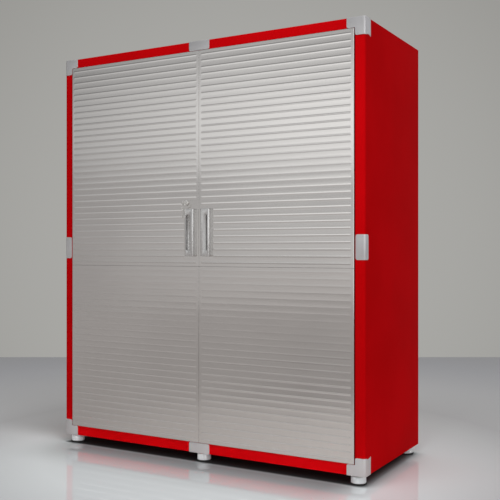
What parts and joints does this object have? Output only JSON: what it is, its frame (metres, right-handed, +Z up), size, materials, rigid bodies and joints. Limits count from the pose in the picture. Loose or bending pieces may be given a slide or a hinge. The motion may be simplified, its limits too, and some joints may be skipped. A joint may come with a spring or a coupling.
{
  "type": "steel storage cabinet",
  "caption": "Tall two-door steel storage cabinet with ribbed metal doors, pull handles, a keyed lock, grey corner caps, inner shelves and levelling feet.",
  "frame": {"origin": "on the floor under the middle of the cabinet's bounding box", "axes": "+Z up, +Y from the doors to the back, +X to the right of someone who faces the doors"},
  "size_m": [1.527, 0.673, 1.8115],
  "materials": {
    "red_paint": "smooth semi-gloss powder coat",
    "ribbed_steel": "satin stainless, brushed along the ribs",
    "grey_plastic": "satin silver-coloured moulding",
    "satin_handle": "satin cast",
    "zinc_steel": "bright zinc plated",
    "lock_metal": "polished nickel plated",
    "foot_plastic": "moulded, off-white",
    "rubber": "matte",
    "black_plastic": "moulded",
    "nylon": "moulded"
  },
  "bodies": {
    "cabinet": {"left_side_lower": "red_paint", "left_side_upper": "red_paint", "right_side_lower": "red_paint", "right_side_upper": "red_paint", "top_left": "red_paint", "top_right": "red_paint", "bottom_left": "red_paint", "bottom_right": "red_paint", "back_lower_left": "red_paint", "back_lower_right": "red_paint", "back_upper_left": "red_paint", "back_upper_right": "red_paint", "partition_lower": "red_paint", "partition_upper": "red_paint", "left_shelf_low": "red_paint", "left_shelf_middle": "red_paint", "left_shelf_high": "red_paint", "right_shelf_low": "red_paint", "right_shelf_middle": "red_paint", "right_shelf_high": "red_paint", "shelf_uprights": "red_paint", "shelf_clips": "zinc_steel", "magnetic_catches": "black_plastic", "corner_caps": "grey_plastic", "edge_caps": "grey_plastic", "hinge_bushes": "nylon", "foot_sockets": "zinc_steel", "back_screws": "zinc_steel"},
    "left_door": {"left_door_upper_skin": "ribbed_steel", "left_door_lower_skin": "ribbed_steel", "left_door_liner": "red_paint", "left_hinge_pins": "zinc_steel", "left_handle": "satin_handle", "left_handle_screws": "zinc_steel", "lock_housing": "lock_metal", "lock_nut": "zinc_steel"},
    "right_door": {"right_door_upper_skin": "ribbed_steel", "right_door_lower_skin": "ribbed_steel", "right_door_liner": "red_paint", "right_hinge_pins": "zinc_steel", "right_handle": "satin_handle", "right_handle_screws": "zinc_steel"},
    "lock_barrel": {"lock_plug": "lock_metal", "lock_cam": "zinc_steel"},
    "key": {"key": "lock_metal"},
    "spare_keys": {"key_ring": "lock_metal", "spare_key": "lock_metal"},
    "front_left_foot": {"front_left_foot": "foot_plastic", "front_left_pad": "rubber"},
    "front_centre_foot": {"front_centre_foot": "foot_plastic", "front_centre_pad": "rubber"},
    "front_right_foot": {"front_right_foot": "foot_plastic", "front_right_pad": "rubber"},
    "rear_left_foot": {"rear_left_foot": "foot_plastic", "rear_left_pad": "rubber"},
    "rear_centre_foot": {"rear_centre_foot": "foot_plastic", "rear_centre_pad": "rubber"},
    "rear_right_foot": {"rear_right_foot": "foot_plastic", "rear_right_pad": "rubber"}
  },
  "joints": [
    {"name": "left_door_hinge", "type": "hinge", "parent": "cabinet", "child": "left_door", "pos_m": [-0.699, -0.291, 0.925], "axis": [0, 0, -1], "range_deg": [0, 115]},
    {"name": "right_door_hinge", "type": "hinge", "parent": "cabinet", "child": "right_door", "pos_m": [0.699, -0.291, 0.925], "axis": [0, 0, 1], "range_deg": [0, 115]},
    {"name": "lock_turn", "type": "hinge", "parent": "left_door", "child": "lock_barrel", "pos_m": [-0.065, -0.3015, 1.116], "axis": [0, 1, 0], "range_deg": [0, 90]},
    {"name": "key_pull", "type": "slide", "parent": "lock_barrel", "child": "key", "axis": [0, -1, 0], "range_m": [0, 0.026]},
    {"name": "spare_key_swing", "type": "hinge", "parent": "key", "child": "spare_keys", "pos_m": [-0.065, -0.3265, 1.116], "axis": [-1, 0, 0], "range_deg": [0, 40]},
    {"name": "front_left_level", "type": "slide", "parent": "cabinet", "child": "front_left_foot", "axis": [0, 0, -1], "range_m": [0, 0.02]},
    {"name": "front_centre_level", "type": "slide", "parent": "cabinet", "child": "front_centre_foot", "axis": [0, 0, -1], "range_m": [0, 0.02]},
    {"name": "front_right_level", "type": "slide", "parent": "cabinet", "child": "front_right_foot", "axis": [0, 0, -1], "range_m": [0, 0.02]},
    {"name": "rear_left_level", "type": "slide", "parent": "cabinet", "child": "rear_left_foot", "axis": [0, 0, -1], "range_m": [0, 0.02]},
    {"name": "rear_centre_level", "type": "slide", "parent": "cabinet", "child": "rear_centre_foot", "axis": [0, 0, -1], "range_m": [0, 0.02]},
    {"name": "rear_right_level", "type": "slide", "parent": "cabinet", "child": "rear_right_foot", "axis": [0, 0, -1], "range_m": [0, 0.02]}
  ]
}
